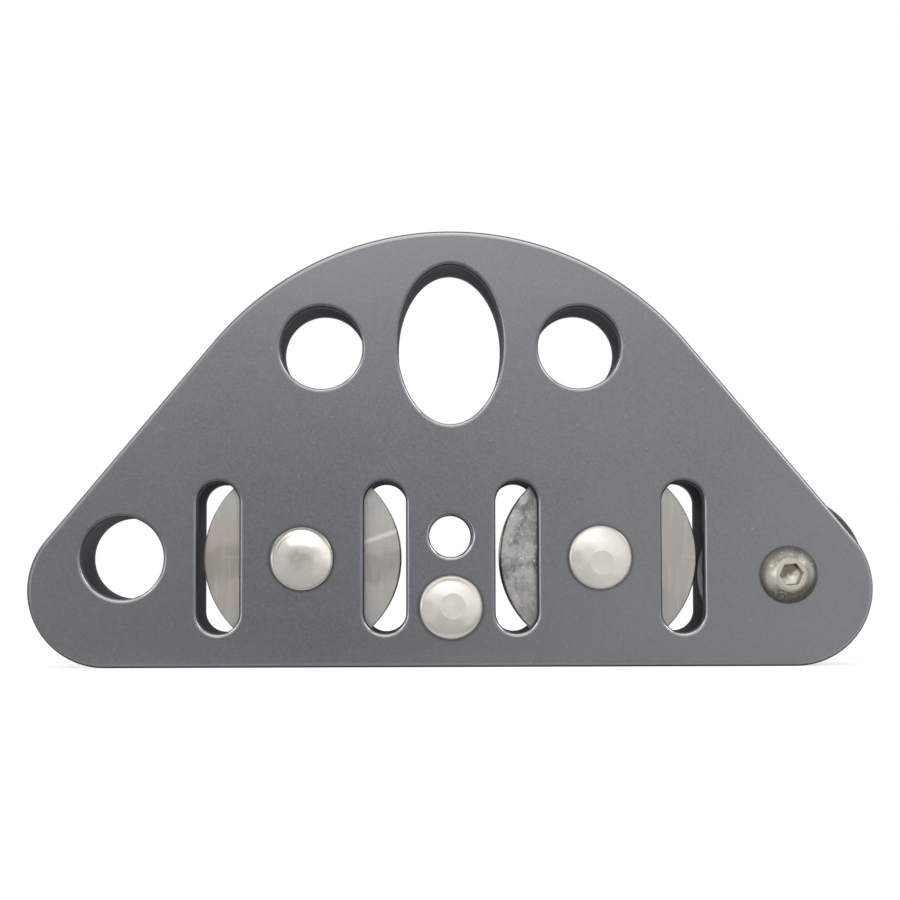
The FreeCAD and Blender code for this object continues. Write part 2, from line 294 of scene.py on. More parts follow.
class Finish:
    """One material. Its patterns are worked out in millimetres from the piece's own origin."""

    def __init__(self, name, base, metallic, roughness, **sockets):
        self.material = bpy.data.materials.new(name)
        self.material.use_nodes = True
        self.tree = self.material.node_tree
        self.shader = self.tree.nodes["Principled BSDF"]
        self.base = base
        self.shader.inputs["Base Color"].default_value = (*base, 1)
        self.shader.inputs["Metallic"].default_value = metallic
        self.shader.inputs["Roughness"].default_value = roughness
        for socket, value in sockets.items():
            self.shader.inputs[socket.replace("_", " ")].default_value = value
        metres = self.add("ShaderNodeTexCoord").outputs["Object"]
        self.place = self.vector("MULTIPLY", metres, (1 / MM, 1 / MM, 1 / MM))

    def add(self, kind, settings=None, **inputs):
        node = self.tree.nodes.new(kind)
        for name, value in (settings or {}).items():
            setattr(node, name, value)
        for name, value in inputs.items():
            self.give(node.inputs[name.replace("_", " ")], value)
        return node

    def give(self, socket, value):
        if isinstance(value, bpy.types.NodeSocket):
            self.tree.links.new(value, socket)
        else:
            socket.default_value = value

    def vector(self, operation, a, b=(0, 0, 0)):
        node = self.add("ShaderNodeVectorMath", {"operation": operation})
        self.give(node.inputs[0], a)
        self.give(node.inputs[1], b)
        return node.outputs["Value" if operation == "LENGTH" else "Vector"]

    def parts(self, value):
        """The three parts of a vector."""
        return self.add("ShaderNodeSeparateXYZ", None, Vector=value).outputs

    def from_axle(self, place=None):
        """Distance of a place from the Y axis through the piece's origin."""
        place = self.place if place is None else place
        return self.vector("LENGTH", self.vector("MULTIPLY", place, (1, 0, 1)))

    def attribute(self, name):
        """What the mesh maker wrote on the vertices under this name, from 0 to 1."""
        return self.add("ShaderNodeAttribute", {"attribute_name": name}).outputs["Fac"]

    def maths(self, operation, a, b=0.0):
        node = self.add("ShaderNodeMath", {"operation": operation})
        self.give(node.inputs[0], a)
        self.give(node.inputs[1], b)
        return node.outputs["Value"]

    def plus(self, a, b):
        return self.maths("ADD", a, b)

    def minus(self, a, b):
        return self.maths("SUBTRACT", a, b)

    def times(self, *values):
        """Product of patterns and numbers."""
        total = values[0]
        for value in values[1:]:
            total = self.maths("MULTIPLY", total, value)
        return total

    def near(self, value, wanted, nothing_at, full_at):
        """1 where the value is within full_at of the wanted one, and 0 from nothing_at onwards."""
        return self.spread(self.maths("ABSOLUTE", self.minus(value, wanted)), nothing_at, full_at)

    def stretched(self, turn, scale):
        """The place turned about Y and scaled, for patterns that run one way."""
        node = self.add("ShaderNodeMapping", None, Vector=self.place, Rotation=(0, turn, 0), Scale=scale)
        return node.outputs["Vector"]

    def noise(self, scale, detail=2.0, roughness=0.5, distortion=0.0, where=None):
        where = self.place if where is None else where
        node = self.add("ShaderNodeTexNoise", None, Vector=where, Scale=scale, Detail=detail,
                        Roughness=roughness, Distortion=distortion)
        return node.outputs["Fac"]

    def rings(self, scale, detail=2.0):
        """Pattern that only changes with the distance from the axle, as turning leaves it."""
        node = self.add("ShaderNodeTexNoise", {"noise_dimensions": "1D"}, W=self.from_axle(), Scale=scale,
                        Detail=detail)
        return node.outputs["Fac"]

    def spread(self, value, low, high, to_low=0.0, to_high=1.0):
        """Maps low..high of a pattern to to_low..to_high."""
        node = self.add("ShaderNodeMapRange", None, Value=value)
        for name, number in (("From Min", low), ("From Max", high), ("To Min", to_low), ("To Max", to_high)):
            node.inputs[name].default_value = number
        return node.outputs["Result"]

    def swing(self, pattern, to_low=0.0, to_high=1.0):
        """Maps the range that a noise pattern mostly keeps to, which is 0.3 to 0.7, to to_low..to_high."""
        return self.spread(pattern, 0.3, 0.7, to_low, to_high)

    def mix(self, factor, a, b):
        node = self.add("ShaderNodeMix", {"data_type": "RGBA"}, Factor=factor)
        # the colour sockets come after those for numbers and vectors
        self.give(node.inputs[6], a)
        self.give(node.inputs[7], b)
        return node.outputs[2]

    def tone(self, level, tint=(1, 1, 1)):
        """The base colour, lighter or darker, as a socket value."""
        return tuple(min(1.0, c * level * t) for c, t in zip(self.base, tint)) + (1,)

    def lay(self, below, mask, level, tint=(1, 1, 1)):
        """Lays a tone of the base colour over what is below it, fully where the mask is 1."""
        return self.mix(mask, below, self.tone(level, tint))

    def colour(self, value):
        self.give(self.shader.inputs["Base Color"], value)

    def rough(self, value):
        self.give(self.shader.inputs["Roughness"], value)

    def bump(self, height, strength, distance):
        """Adds relief on top of what is already there. Distance in millimetres."""
        node = self.add("ShaderNodeBump", None, Height=height, Strength=strength, Distance=distance * MM)
        normal = self.shader.inputs["Normal"]
        if normal.links:
            self.give(node.inputs["Normal"], normal.links[0].from_socket)
        self.give(normal, node.outputs["Normal"])


def plate_finish(base, heads):
    """Grey anodised aluminium with a blasted grain, faint scuffs, rubbing and painted highlight on edges that
    face up, and the sides of its openings and the outline's lower side made matt and darkened with painted
    shade. Painted light makes it lighter low down, towards the right, near the crown and at both ends. heads
    are the rivet heads on it, as (x, z, radius), and a painted shadow lies round them, more of it below."""
    f = Finish("grey anodised plate", base, 1.0, 0.35, Specular_Tint=(0.55, 0.55, 0.56, 1))
    grain = f.noise(1.9, 2.0, 0.6)
    body = f.mix(f.swing(f.noise(0.035, 3.0, 0.55)), f.tone(0.94, (1.0, 1.0, 1.03)), f.tone(1.06))
    body = f.lay(body, f.spread(grain, 0.25, 0.75, 0.0, 0.8), 1.4)
    speck = f.spread(f.noise(1.1, 1.0, 0.5), 0.66, 0.78)
    body = f.lay(body, f.times(speck, 0.45), 2.2)
    scuff = f.spread(f.noise(0.55, 4.0, 0.7, 0.6, f.stretched(0.9, (0.12, 1.0, 1.6))), 0.69, 0.8)
    body = f.lay(body, f.times(scuff, 0.35), 1.8)
    # painted light: the plate is lighter low down, towards the right, near the crown and at both ends
    across, _, up = f.parts(f.place)
    painted_light = f.times(f.spread(up, 55.0, 5.0), f.spread(across, -40.0, 20.0, 0.08, 0.19))
    for along, start, end, strength in ((across, -60.0, 120.0, 0.09), (across, -60.0, -85.0, 0.1),
                                        (across, 85.0, 112.0, 0.12), (up, 95.0, 118.0, 0.11)):
        painted_light = f.plus(painted_light, f.spread(along, start, end, 0.0, strength))
    body = f.lay(body, painted_light, 2.0)
    # painted shadow round each head, centred a little below it so that more of it lies below
    shadow_width, shadow_drop = 0.9, 0.25
    for x, z, radius in heads:
        away = f.from_axle(f.vector("ADD", f.place, (-x, 0, shadow_drop - z)))
        body = f.lay(body, f.times(f.spread(away, radius + shadow_width, radius), 0.5), 0.5)
    matt_shaded_wall, rubbed_and_lit = f.attribute("matt_shaded_wall"), f.attribute("rubbed_and_lit")
    # painted shade, with a cold tint, on the sides of the openings and low on the outline
    body = f.lay(body, matt_shaded_wall, 0.45, (0.92, 0.96, 1.1))
    # painted highlight, with some real rubbing, on the roundings that face up
    f.colour(f.lay(body, rubbed_and_lit, 4.6))
    matt = f.minus(f.times(matt_shaded_wall, 0.2), f.times(rubbed_and_lit, 0.2))
    f.rough(f.plus(f.spread(grain, 0.2, 0.8, 0.31, 0.38), matt))
    f.bump(f.noise(2.6, 2.0, 0.6), 0.35, 0.02)
    return f.material


def wheel_finish(name, base, seed, mottling):
    """Turned metal that hands and weather have stained on its sides, and ropes have polished in its groove,
    with a painted reflection across the middle of each side.
    mottling, from 0 to 1, is how grey the side is and how strongly one part of it is spotted."""
    f = Finish(name, base, 1.0, 0.35)
    # each seed has a stretch of the patterns for itself
    place = f.vector("ADD", f.place, (seed * 37.0, 0, 0))
    across, along, up = f.parts(f.place)
    cloud = f.noise(0.07, 3.0, 0.55, 1.0, place)
    side = f.mix(f.swing(cloud), f.tone(0.9, (1.0, 1.0, 0.99)), f.tone(1.1, (0.99, 1.0, 1.01)))
    side = f.lay(side, mottling, 0.8, (1.0, 0.975, 0.975))
    # painted reflection: warmer across the middle, more so on the left, with a darker strip in it
    level = f.plus(up, f.swing(f.noise(0.12, 2.0, 0.5, 0.5, place), -3.0, 3.0))
    warm_reflection = f.times(f.near(level, -1.0, 15.0, 8.0), f.spread(across, 12.0, -12.0, 0.35, 1.0))
    side = f.lay(side, f.times(warm_reflection, 0.9 - 0.6 * mottling), 0.97, (1.08, 0.96, 0.9))
    dark_reflection_band = f.near(level, -2.0, 6.0, 3.5)
    side = f.lay(side, f.times(dark_reflection_band, 0.8 - 0.5 * mottling), 0.76, (1.05, 0.96, 0.94))
    # worn in by a rope that ran over the side
    slope = 0.337
    streak = f.near(f.minus(up, f.times(across, slope)), -1.6, 1.1, 0.2)
    side = f.lay(side, f.times(streak, f.spread(across, 17.5, 20.5), 0.75 * (1 - mottling)), 1.7)
    # spots like those of weathered zinc, on one part of the side
    spotted = f.times(f.spread(across, 6.0, -14.0), mottling, f.spread(up, -20.0, -4.0, 0.35, 1.0))
    blot = f.plus(f.times(f.noise(0.16, 2.0, 0.5, 0.6, place), 0.6),
                  f.times(f.noise(0.5, 4.0, 0.65, 0.5, place), 0.4))
    spots = f.mix(f.spread(blot, 0.42, 0.58), f.tone(0.38, (0.97, 1.0, 1.03)),
                  f.tone(1.0, (0.98, 0.99, 1.01)))
    side = f.mix(f.times(spotted, 0.9), side, spots)
    speck = f.spread(f.noise(1.0, 2.0, 0.6, 0.3, place), 0.66, 0.74)
    side = f.lay(side, f.times(speck, spotted, 0.8), 2.2)
    # fine lines from the mill, and scratches
    grain = f.noise(0.6, 2.0, 0.5, 0.0, f.stretched(0.0, (1.0, 1.0, 0.12)))
    side = f.lay(side, f.spread(grain, 0.5, 0.75, 0.0, 0.25), 1.5)
    scratch = f.spread(f.noise(1.0, 3.0, 0.6, 0.3, f.stretched(0.35, (0.1, 1.0, 2.6))), 0.66, 0.76)
    side = f.lay(side, f.times(scratch, 0.3), 1.6)
    turning = f.rings(2.2, 4.0)
    groove = f.near(along, 0.0, 8.1, 7.6)
    f.colour(f.mix(groove, side, f.mix(turning, f.tone(1.2), f.tone(1.6))))
    f.rough(f.minus(f.swing(cloud, 0.3, 0.42), f.times(groove, 0.08)))
    f.bump(turning, 0.25, 0.02)
    f.bump(f.noise(0.5, 3.0, 0.5), 0.2, 0.05)
    return f.material


def rivet_finish(name, base, roughness, painted_reflections):
    """Bright steel. The last argument, from 0 to 1, is how strongly dark reflections are painted on the dome:
    a cloudy darker middle, a darker upper part of its rim and a thin dark arc inside that rim."""
    f = Finish(name, base, 1.0, roughness)
    cloud = f.noise(0.22, 2.0, 0.5, 0.6)
    radius = f.from_axle()
    across, _, up = f.parts(f.place)
    body = f.mix(f.swing(cloud), f.tone(0.95, (1.0, 0.985, 0.965)), f.tone(1.04))
    # painted reflection: a cloudy darker middle of the dome
    reflection_patch = f.spread(f.noise(0.34, 3.0, 0.6, 0.5), 0.46, 0.66)
    reflection_patch = f.times(reflection_patch, f.spread(radius, 5.5, 3.0), painted_reflections)
    body = f.lay(body, reflection_patch, 0.78, (0.99, 0.98, 1.0))
    # painted reflection: the upper part of the rim is darker
    high = f.spread(f.minus(up, f.times(across, 0.35)), 0.0, 5.0)
    rim = f.times(f.spread(radius, 8.0, 8.5), high, painted_reflections)
    body = f.lay(body, rim, 0.25)
    # painted shade on the head's outer edge, strongest on its upper side
    edge = f.spread(radius, 8.9, 9.4)
    body = f.lay(body, f.times(edge, f.spread(up, -6.0, 2.0, 0.3, 1.0)), 0.5)
    # painted reflection: a thin dark arc inside the rim, on its upper side, along the die's ring
    reflection_line = f.times(f.near(radius, 7.45, 0.28, 0.08), high, painted_reflections)
    body = f.lay(body, f.times(reflection_line, 0.7), 0.4)
    f.colour(f.lay(body, f.times(f.attribute("pressed"), 0.5), 0.9))
    matt_and_dark = f.plus(f.plus(reflection_patch, rim), edge)
    f.rough(f.plus(f.swing(cloud, roughness * 0.9, roughness * 1.15), f.times(matt_and_dark, 0.12)))
    f.bump(f.noise(0.7, 2.0, 0.5), 0.15, 0.02)
    return f.material


def screw_finish(base):
    """Cold-formed stainless steel: bright flat round the socket, a brown rim, painted light on the left of
    the dome and painted shade on its right and top, darker low on the dome, and painted light and shade in
    the socket.
    """
    f = Finish("stainless screw", base, 1.0, 0.34)
    radius = f.from_axle()
    across, along, up = f.parts(f.place)
    depth = f.maths("ABSOLUTE", along)
    cloud = f.noise(0.45, 3.0, 0.6, 0.8)
    body = f.mix(f.swing(cloud), f.tone(0.86, (1.0, 0.99, 0.96)), f.tone(1.1))
    # painted light on the left of the dome, and painted shade on its right
    body = f.lay(body, f.spread(across, 1.0, -5.0, 0.0, 0.5), 1.9, (1.0, 1.0, 0.94))
    body = f.lay(body, f.spread(across, -1.0, 5.0, 0.0, 0.5), 0.5, (0.99, 1.0, 1.01))
    dome = f.spread(radius, 4.9, 5.4)
    # painted shade on the upper part of the dome
    body = f.lay(body, f.times(dome, f.spread(up, 0.5, 4.0), 0.9), 0.55, (0.98, 1.0, 1.0))
    nick = f.spread(f.noise(1.1, 1.0, 0.5), 0.68, 0.76)
    body = f.lay(body, f.times(nick, dome, 0.8), 2.2)
    flat = f.times(f.spread(radius, 4.9, 4.5), f.spread(depth, 19.5, 19.9))
    body = f.lay(body, flat, 1.15, (1.02, 0.99, 0.98))
    # darker and browner in patches low on the dome
    low_darkening = f.spread(f.noise(0.7, 3.0, 0.65, 1.2), 0.35, 0.55, 0.55, 1.0)
    body = f.lay(body, f.times(dome, f.spread(up, -1.5, -4.5), low_darkening), 0.3, (1.05, 0.95, 0.88))
    body = f.lay(body, f.spread(radius, 7.3, 8.4, 0.0, 0.7), 1.2, (1.04, 0.98, 0.94))
    # painted shade in the socket, olive and dark to the upper left, and painted light low down and to the
    # right
    inside = f.times(f.spread(depth, 19.75, 19.4), f.spread(radius, 3.7, 3.4))
    slope = f.minus(f.times(across, 0.5), up)
    brightening = f.spread(f.plus(slope, f.swing(cloud, -0.8, 0.8)), -0.6, 0.9)
    inner = f.mix(brightening, f.tone(0.5, (1.05, 1.0, 0.82)), f.tone(1.5))
    f.colour(f.mix(inside, body, inner))
    f.rough(f.swing(cloud, 0.32, 0.42))
    f.bump(f.noise(0.9, 2.0, 0.6), 0.25, 0.05)
    return f.material


def roller_finish(base):
    """Black plastic, turned and rubbed by rope."""
    f = Finish("black roller plastic", base, 0.0, 0.45)
    rub = f.noise(0.2, 4.0, 0.6, 0.5)
    f.colour(f.mix(f.spread(rub, 0.4, 0.75), f.tone(0.8), f.tone(2.4)))
    f.rough(f.swing(rub, 0.36, 0.55))
    f.bump(f.rings(3.0, 3.0), 0.3, 0.03)
    return f.material


def bush_finish(base):
    """Sintered bronze with open pores."""
    f = Finish("sintered bronze", base, 1.0, 0.45)
    pores = f.noise(4.0, 2.0, 0.6)
    f.colour(f.mix(f.spread(pores, 0.3, 0.6), f.tone(0.6), f.tone(1.1)))
    f.rough(f.swing(pores, 0.6, 0.4))
    f.bump(pores, 0.4, 0.02)
    return f.material


def sleeve_finish(base):
    """Ground steel, with the grinding lines round the sleeve."""
    f = Finish("ground steel", base, 1.0, 0.3)
    lines = f.noise(1.0, 3.0, 0.6, 0.0, f.stretched(0.0, (0.2, 9.0, 0.2)))
    f.colour(f.mix(lines, f.tone(0.85), f.tone(1.1)))
    f.rough(f.swing(lines, 0.24, 0.38))
    f.bump(lines, 0.2, 0.01)
    return f.material


def washer_finish(base):
    """Natural plastic, a little cloudy."""
    f = Finish("natural plastic", base, 0.0, 0.5, Subsurface_Weight=0.1)
    cloud = f.noise(0.4, 3.0, 0.5)
    f.colour(f.mix(cloud, f.tone(0.9, (1.0, 0.98, 0.94)), f.tone(1.05)))
    f.rough(f.swing(cloud, 0.45, 0.6))
    f.bump(f.noise(3.0, 2.0), 0.15, 0.02)
    return f.material


# Plates

def hole_loop(x, z, radius, count=96):
    """Round opening: its points, and the directions that lead out of the metal there."""
    return [(point, -direction) for point, direction in arc((x, z), radius, 0, math.tau, count)[:-1]]


def slot_loop(x, z, width, height, count=28):
    """Upright slot with round ends."""
    reach = (height - width) / 2
    upper = arc((x, z + reach), width / 2, 0, math.pi, count)
    lower = arc((x, z - reach), width / 2, math.pi, math.tau, count)
    return [(point, -direction) for point, direction in upper + lower]


def oval_loop(z, width, height, count=144):
    """Upright oval opening on the plate's middle line."""
    loop = []
    for i in range(count):
        turn = math.tau * i / count
        across, up = math.cos(turn), math.sin(turn)
        inward = -Vector((across / width, up / height)).normalized()
        loop.append((Vector((across * width / 2, z + up * height / 2)), inward))
    return loop


def outline_loop(sizes):
    """The plate's edge: crown arc, two lower corners and the straight lines that touch them."""
    corner_x = sizes.corner_spacing / 2
    corner = sizes.corner_radius
    crown_z = sizes.plate_height - sizes.crown_radius
    drop = crown_z - corner
    touch = math.acos((sizes.crown_radius - corner) / math.hypot(corner_x, drop))
    touch -= math.atan2(drop, corner_x)
    return (arc((corner_x, corner), corner, -math.pi / 2, touch, 48)
            + arc((0, crown_z), sizes.crown_radius, touch, math.pi - touch, 144)
            + arc((-corner_x, corner), corner, math.pi - touch, 1.5 * math.pi, 48))


def plate_maker(side, sizes):
    """Mesh maker for one side plate with rounded outer edges and softly broken inner ones."""
    low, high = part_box(PLATES[side])
    outer, inner = (low.y, high.y) if side == FRONT else (high.y, low.y)
    steps = 9
    # in degrees from the face round an edge: where the rubbing and painted highlight of an opening start and
    # how soon they are full, and where the outline's rubbing and painted highlight are strongest
    bright_start, bright_rise, bright_peak = 5, 25, 22

    def edge_rows(rounding, opening, wall_brightening=0.0):
        """Rows of the plate's edge as (inset, y, how far it carries rubbing and painted highlight, how far it
        is matt and darkened with painted shade), from the outer face to the inner one. Round the outside only
        the turn into the face carries rubbing and painted highlight, and in an opening the whole rounding."""
        matt_and_dark = 0.0 if wall_brightening else 1.0
        matt_shade_from = (0.6 if opening else 0.5) * steps
        rows = []
        for i in range(steps + 1):
            turn = 90 * i / steps
            if opening:
                brightening = clamped((turn - bright_start) / bright_rise)
            else:
                brightening = clamped(1 - abs(turn - bright_peak) / bright_peak)
            turn = math.radians(turn)
            rows.append((rounding * (1 - math.sin(turn)), outer - side * rounding * (1 - math.cos(turn)),
                         brightening, matt_and_dark if i > matt_shade_from else 0.0))
        return rows + [(0.0, outer - side * (rounding + sizes.inner_edge), wall_brightening, matt_and_dark),
                       (0.0, inner + side * sizes.inner_edge, wall_brightening, matt_and_dark),
                       (sizes.inner_edge, inner, 0.0, 0.0)]

    section = edge_rows(sizes.opening_rounding, opening=True)
    plain = [(0.0, outer, 0.0, 0.0), (0.0, inner, 0.0, 0.0)]

    def outline_rubbing_and_shading(outward):
        """How far the outline carries rubbing and painted highlight, and how far it is matt and darkened with
        painted shade: painted highlight where it faces up, a little elsewhere and more towards the roller,
        and painted shade below."""
        return (max(0.16 + 0.2 * outward.x, -1.0 + 2.0 * outward.y + 0.2 * outward.x),
                -1.1 * outward.y - 0.3 * max(0.0, outward.x))

    def opening_rubbing_and_shading(outward):
        """An opening carries rubbing and painted highlight most at its lower edge, where the metal faces up,
        and its sides are matt and darkened with painted shade all round.
        """
        return 0.24 + 0.4 * outward.y, 1.0

    def small_hole_rubbing_and_shading(outward):
        """The small hole carries rubbing and painted highlight all round, and its sides with it, with no
        painted shade.
        """
        return 0.56 + 0.24 * outward.y, 0.0

    # each loop comes with its rows and how far they carry rubbing and painted highlight, and matt painted
    # shade, in each direction
    loops = [(outline_loop(sizes), edge_rows(sizes.edge_rounding, opening=False), outline_rubbing_and_shading)]
    eye_x = sizes.upper_eye_spacing / 2
    from_crown_centre = sizes.crown_radius - sizes.upper_eye_web - sizes.eye_diameter / 2
    eye_z = sizes.plate_height - sizes.crown_radius + math.sqrt(from_crown_centre ** 2 - eye_x ** 2)
    for x, z in ((-eye_x, eye_z), (eye_x, eye_z), (sizes.end_eye_x, sizes.end_eye_height)):
        loops.append((hole_loop(x, z, sizes.eye_diameter / 2), section, opening_rubbing_and_shading))
    oval_z = sizes.plate_height - sizes.oval_web - sizes.oval_height / 2
    loops.append((oval_loop(oval_z, sizes.oval_width, sizes.oval_height), section, opening_rubbing_and_shading))
    loops.append((hole_loop(0, sizes.small_hole_height, sizes.small_hole_diameter / 2, count=72),
                  edge_rows(sizes.small_hole_rounding, opening=True, wall_brightening=0.6), small_hole_rubbing_and_shading))
    for hand in HANDS:
        axle = middle(hand + "_wheel")
        for x in (axle.x - sizes.slot_from_axle, axle.x + sizes.slot_from_axle):
            loops.append((slot_loop(x, axle.z, sizes.slot_width, sizes.slot_height), section, opening_rubbing_and_shading))
    screw = bpy.context.scene.pulley_screw
    rivet_shank = bpy.context.scene.pulley_rivet.shank_diameter
    screw_shank = screw.shank_diameter if side == FRONT else screw.barrel_diameter
    shanks = {node: rivet_shank for node in RIVETS}
    shanks["roller_screw"] = screw_shank
    for node, shank in shanks.items():
        centre = middle(node)
        seat = hole_loop(centre.x, centre.z, shank / 2 + sizes.seat_clearance, count=48)
        loops.append((seat, plain, opening_rubbing_and_shading))

    def build(bm):
        rubbed_and_lit = bm.verts.layers.float.new("rubbed_and_lit")
        matt_shaded_wall = bm.verts.layers.float.new("matt_shaded_wall")
        # the first and the last ring of each loop bound the outer and the inner face
        faces = {0: [], -1: []}
        for loop, rows, rubbing_and_shading in loops:
            rings = []
            for inset, y, brightening, matt_and_dark in rows:
                ring = []
                for point, outward in loop:
                    vert = bm.verts.new((point.x - inset * outward.x, y, point.y - inset * outward.y))
                    how_rubbed_and_lit, how_matt_shaded = rubbing_and_shading(outward)
                    vert[rubbed_and_lit] = brightening * clamped(how_rubbed_and_lit)
                    vert[matt_shaded_wall] = matt_and_dark * clamped(how_matt_shaded)
                    ring.append(vert)
                rings.append(ring)
            for a, b in zip(rings, rings[1:]):
                for i in range(len(a)):
                    bm.faces.new((a[i - 1], a[i], b[i], b[i - 1]))
            for row in faces:
                faces[row].append(rings[row])
        for rings in faces.values():
            flat = [vert for ring in rings for vert in ring]
            outlines = [[Vector((vert.co.x, vert.co.z, 0)) for vert in ring] for ring in rings]
            for triangle in geometry.tessellate_polygon(outlines):
                bm.faces.new([flat[i] for i in triangle])
    return build


class PULLEY_OT_side_plates(bpy.types.Operator):
    """Make both side plates"""
    bl_idname = "pulley.side_plates"
    bl_label = "Side plates"

    def execute(self, context):
        scene = context.scene
        heads = []
        for node in RIVETS:
            centre = middle(node)
            heads.append((centre.x / MM, centre.z / MM, span(node).x / 2 / MM))
        finish = plate_finish(scene.pulley_colours.plate, heads)
        for side, name in ((FRONT, "front_plate"), (BACK, "back_plate")):
            make_piece(name, plate_maker(side, scene.pulley_plate), (0, 0, 0), finish, "frame",
                       [PLATES[side]])
        return {"FINISHED"}


# Wheels

class PULLEY_OT_wheels(bpy.types.Operator):
    """Make both grooved wheels"""
    bl_idname = "pulley.wheels"
    bl_label = "Wheels"

    def execute(self, context):
        sizes = context.scene.pulley_wheel
        base = context.scene.pulley_colours.wheel
        for hand, seed, mottling in (("left", 0, 0.0), ("right", 1, 1.0)):
            finish = wheel_finish(hand + " wheel metal", base, seed, mottling)
            node = hand + "_wheel"
            rim = span(node).x / 2
            half = span(node).y / 2
            lip = half - sizes.rim_lip
            bore = span(hand + "_bush").x / 2 + sizes.bore_clearance
            # the flanks would meet here; the groove's round bottom is the rounding of that corner
            meeting = rim - lip / math.tan(sizes.groove_flank)
            bottom = (rim - sizes.groove_depth - meeting) / (1 / math.sin(sizes.groove_flank) - 1)
            corners = [(bore, 0.0, 0), (bore, -half, BORE_EDGE), (rim, -half, sizes.rim_rounding),
                       (rim, -lip, sizes.lip_rounding), (meeting, 0.0, bottom),
                       (rim, lip, sizes.lip_rounding), (rim, half, sizes.rim_rounding),
                       (bore, half, BORE_EDGE), (bore, 0.0, 0)]
            section = softened(corners)[:-1]
            make_piece(hand + "_grooved_wheel", turned(section, count=192), middle(node), finish,
                       "wheel_" + hand, [node])
        return {"FINISHED"}


# Rivets

def rivet_maker(node, sizes, heads):
    """Mesh maker for a rivet. heads maps each side to what riveting left there: mark, the tool's mark as
    (x, z, radius) or None; lean, how far the dome leans along x and z; ring, the depth of the die's ring;
    shift, how far the head was pushed aside as (x, z); seed, for the unevenness."""
    top = span(node).y / 2
    head = span(node).x / 2
    seat = abs(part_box("side_plate_front")[0].y)
    shank = sizes.shank_diameter / 2
    edge = sizes.head_edge
    rounding = sizes.head_rounding
    # the dome's radius follows from the head's height, the upright edge and the rounding between them
    rise = top - seat - edge
    ball = (rise ** 2 - rounding ** 2 + (head - rounding) ** 2) / (2 * (rise - rounding))
    touch = math.asin((head - rounding) / (ball - rounding))
    steps = 48
    section = []
    for i in range(steps + 1):
        turn = touch * i / steps
        section.append((ball * math.sin(turn), top - ball + ball * math.cos(turn)))
    steps = 8
    for i in range(1, steps + 1):
        turn = touch + (math.pi / 2 - touch) * i / steps
        section.append((head - rounding + rounding * math.sin(turn),
                        seat + edge + rounding * math.cos(turn)))
    # the upright edge, bevelled where it meets the plate
    bevel = edge / 2
    section += [(head, seat + bevel), (head - bevel / 2, seat)]

    # sizes of the dents and of the finer ripples on a dome, and how much the ripples count
    dent, ripple, ripple_share = 3.4 * MM, 1.5 * MM, 0.15
    # widths of the die's ring and of the ridge round the mark, as shares of their radii
    ring_width, ridge_width = 0.04, 0.06

    def relief(where, point):
        """How far a point of the dome stands out or in."""
        x, z = point.x, point.z
        out = where["lean"][0] * x + where["lean"][1] * z
        dents = noise.noise(Vector((x, z, where["seed"] * MM)) / dent)
        ripple_seed = where["seed"] + 9
        ripples = noise.noise(Vector((x, z, ripple_seed * MM)) / ripple)
        out += sizes.hammer_depth * (dents + ripple_share * ripples)
        away = math.hypot(x, z)
        off = away / sizes.die_ring_radius
        # the die stood a little askew, so its ring only shows on one side
        askew, nearly_nothing = 0.4, 1e-9
        facing = max(0.0, (z - askew * x) / (away + nearly_nothing))
        out -= where["ring"] * facing * math.exp(-((off - 1) / ring_width) ** 2)
        if where["mark"]:
            mark_x, mark_z, radius = where["mark"]
            off = math.hypot(x - mark_x, z - mark_z) / radius
            out -= sizes.mark_depth * max(0.0, 1 - off ** 2)
            out += sizes.mark_burr * math.exp(-((off - 1) / ridge_width) ** 2)
        return out

    def build(bm):
        around = 160
        rings, marked = [], []
        for side in (FRONT, BACK):
            one = []
            for r, y in section:
                ring = ring_of(r, side * y, around)
                fade = clamped((head - rounding / 2 - r) / rounding)
                for point in ring:
                    point.y += side * fade * relief(heads[side], point)
                    if heads[side]["mark"]:
                        mark_x, mark_z, radius = heads[side]["mark"]
                        if math.hypot(point.x - mark_x, point.z - mark_z) < radius and abs(point.y) > seat:
                            marked.append(point)
                    point.x += heads[side]["shift"][0]
                    point.z += heads[side]["shift"][1]
                one.append(ring)
            one.append(ring_of(shank, side * seat, around))
            rings += one if side == FRONT else one[::-1]
        skin(bm, rings)
        pressed = bm.verts.layers.float.new("pressed")
        inside = {tuple(point) for point in marked}
        for vert in bm.verts:
            vert[pressed] = 1.0 if tuple(vert.co) in inside else 0.0
    return build


def head_of(seed, mark=None, lean=(0.0, 0.0), ring=0.0, shift=(0.0, 0.0)):
    """What riveting left on one head, in rivet_maker's words."""
    return {"seed": seed, "mark": mark, "lean": lean, "ring": ring, "shift": shift}


